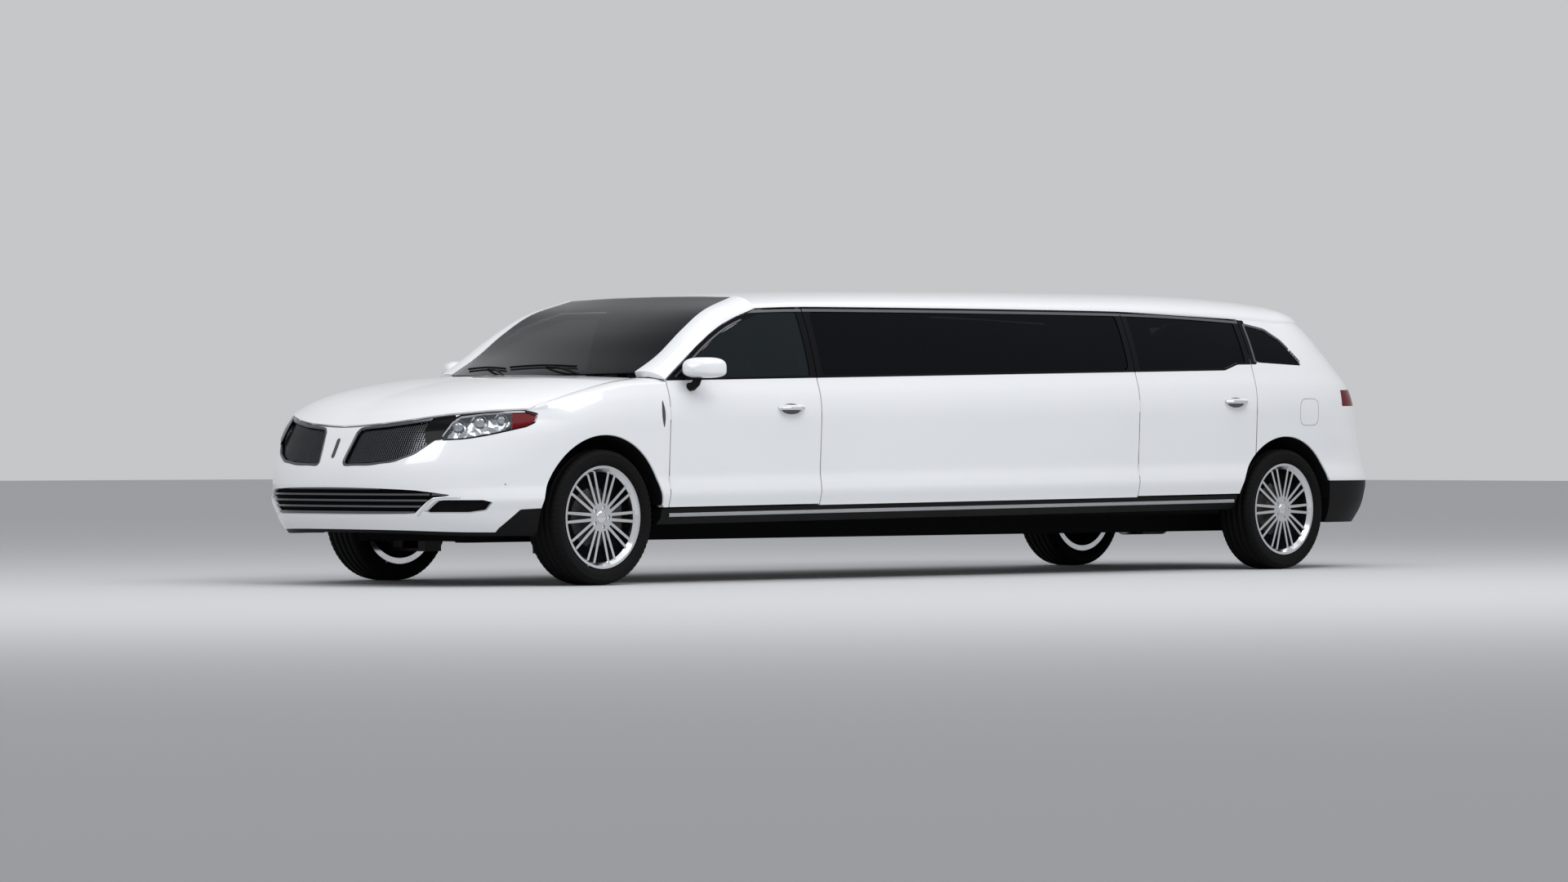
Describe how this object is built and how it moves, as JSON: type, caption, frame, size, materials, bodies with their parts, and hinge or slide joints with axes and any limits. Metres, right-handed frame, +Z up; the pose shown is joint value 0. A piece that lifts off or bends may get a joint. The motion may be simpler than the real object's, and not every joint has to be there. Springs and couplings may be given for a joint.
{
  "type": "stretch limousine",
  "caption": "Long white stretch limousine on a crossover body, with hinged doors, hood and liftgate, steered front wheels and a hollow lounge cabin",
  "frame": {"origin": "middle of the car's length and width, on the ground", "axes": "+X forwards, +Y the car's left side, +Z up"},
  "size_m": [8.0729, 2.2318, 1.682],
  "materials": {
    "paint_white": "gloss white coat",
    "trim_black": "grained black",
    "liner": "felted black",
    "underbody": "black underseal",
    "cast": "cast",
    "steel": "dull steel",
    "interior": "soft grain",
    "leather": "stitched black hide",
    "grille_dark": "dark chrome",
    "lamp_clear": "clear lens",
    "lamp_red": "red lens",
    "glass_screen": "green tint",
    "glass_privacy": "near black tint",
    "rim_bright": "polished alloy",
    "tyre": "black rubber"
  },
  "bodies": {
    "body": {"floor_pan": "underbody", "frame_rails": "underbody", "wheelhouses": "liner", "front_axle": "cast", "rear_axle": "cast", "exhaust": "steel", "fuel_tank": "liner", "engine_block": "cast", "sill_trims": "trim_black", "firewall": "liner", "dashboard": "interior", "partition": "interior", "front_seats": "leather", "lounge_seats": "leather", "front_bumper": "paint_white", "grilles": "grille_dark", "headlamps": "lamp_clear", "front_fenders": "paint_white", "a_pillars": "paint_white", "windshield": "glass_screen", "roof": "paint_white", "stretch_panels": "paint_white", "side_windows": "glass_privacy", "rear_quarters": "paint_white", "tail_lamps": "lamp_red", "rear_bumper": "paint_white", "rear_valance": "trim_black"},
    "hood": {"hood": "paint_white"},
    "liftgate": {"liftgate": "paint_white", "liftgate_glass": "glass_privacy", "gate_lamp": "lamp_red"},
    "front_door_left": {"door_front_left": "paint_white", "glass_front_left": "glass_screen", "mirror_left": "paint_white"},
    "rear_door_left": {"door_rear_left": "paint_white", "glass_rear_left": "glass_privacy"},
    "steer_left": {"knuckle_left": "cast"},
    "wheel_front_left": {"rim_front_left": "rim_bright", "tyre_front_left": "tyre"},
    "wheel_rear_left": {"rim_rear_left": "rim_bright", "tyre_rear_left": "tyre"},
    "front_door_right": {"door_front_right": "paint_white", "glass_front_right": "glass_screen", "mirror_right": "paint_white"},
    "rear_door_right": {"door_rear_right": "paint_white", "glass_rear_right": "glass_privacy"},
    "steer_right": {"knuckle_right": "cast"},
    "wheel_front_right": {"rim_front_right": "rim_bright", "tyre_front_right": "tyre"},
    "wheel_rear_right": {"rim_rear_right": "rim_bright", "tyre_rear_right": "tyre"},
    "steering_wheel": {"steering_wheel": "leather"}
  },
  "joints": [
    {"name": "hood_hinge", "type": "hinge", "parent": "body", "child": "hood", "pos_m": [2.5205, 0, 1.112], "axis": [0, -1, 0], "range_deg": [0, 55]},
    {"name": "liftgate_hinge", "type": "hinge", "parent": "body", "child": "liftgate", "pos_m": [-3.4565, 0, 1.599], "axis": [0, 1, 0], "range_deg": [0, 80]},
    {"name": "front_door_left_hinge", "type": "hinge", "parent": "body", "child": "front_door_left", "pos_m": [2.3945, 0.959, 0.7], "axis": [0, 0, -1], "range_deg": [0, 65]},
    {"name": "rear_door_left_hinge", "type": "hinge", "parent": "body", "child": "rear_door_left", "pos_m": [-1.5275, 0.959, 0.7], "axis": [0, 0, -1], "range_deg": [0, 65]},
    {"name": "front_door_right_hinge", "type": "hinge", "parent": "body", "child": "front_door_right", "pos_m": [2.3945, -0.959, 0.7], "axis": [0, 0, 1], "range_deg": [0, 65]},
    {"name": "rear_door_right_hinge", "type": "hinge", "parent": "body", "child": "rear_door_right", "pos_m": [-1.5275, -0.959, 0.7], "axis": [0, 0, 1], "range_deg": [0, 65]},
    {"name": "steer_left", "type": "hinge", "parent": "body", "child": "steer_left", "pos_m": [2.8825, 0.805, 0.37], "axis": [0, 0, 1], "range_deg": [-35, 35]},
    {"name": "wheel_front_left_spin", "type": "hinge", "parent": "steer_left", "child": "wheel_front_left", "pos_m": [2.8825, 0.83, 0.37], "axis": [0, 1, 0], "continuous": true},
    {"name": "wheel_rear_left_spin", "type": "hinge", "parent": "body", "child": "wheel_rear_left", "pos_m": [-2.9125, 0.83, 0.37], "axis": [0, 1, 0], "continuous": true},
    {"name": "steer_right", "type": "hinge", "parent": "body", "child": "steer_right", "pos_m": [2.8825, -0.805, 0.37], "axis": [0, 0, 1], "range_deg": [-35, 35]},
    {"name": "wheel_front_right_spin", "type": "hinge", "parent": "steer_right", "child": "wheel_front_right", "pos_m": [2.8825, -0.83, 0.37], "axis": [0, 1, 0], "continuous": true},
    {"name": "wheel_rear_right_spin", "type": "hinge", "parent": "body", "child": "wheel_rear_right", "pos_m": [-2.9125, -0.83, 0.37], "axis": [0, 1, 0], "continuous": true},
    {"name": "steering_wheel_turn", "type": "hinge", "parent": "body", "child": "steering_wheel", "pos_m": [1.8225, 0.38, 0.985], "axis": [-0.9063, 0, 0.4226], "range_deg": [-525, 525]}
  ],
  "couplings": [
    {"joint": "steer_right", "follows": "steer_left", "ratio": 1},
    {"joint": "steering_wheel_turn", "follows": "steer_left", "ratio": 15}
  ]
}
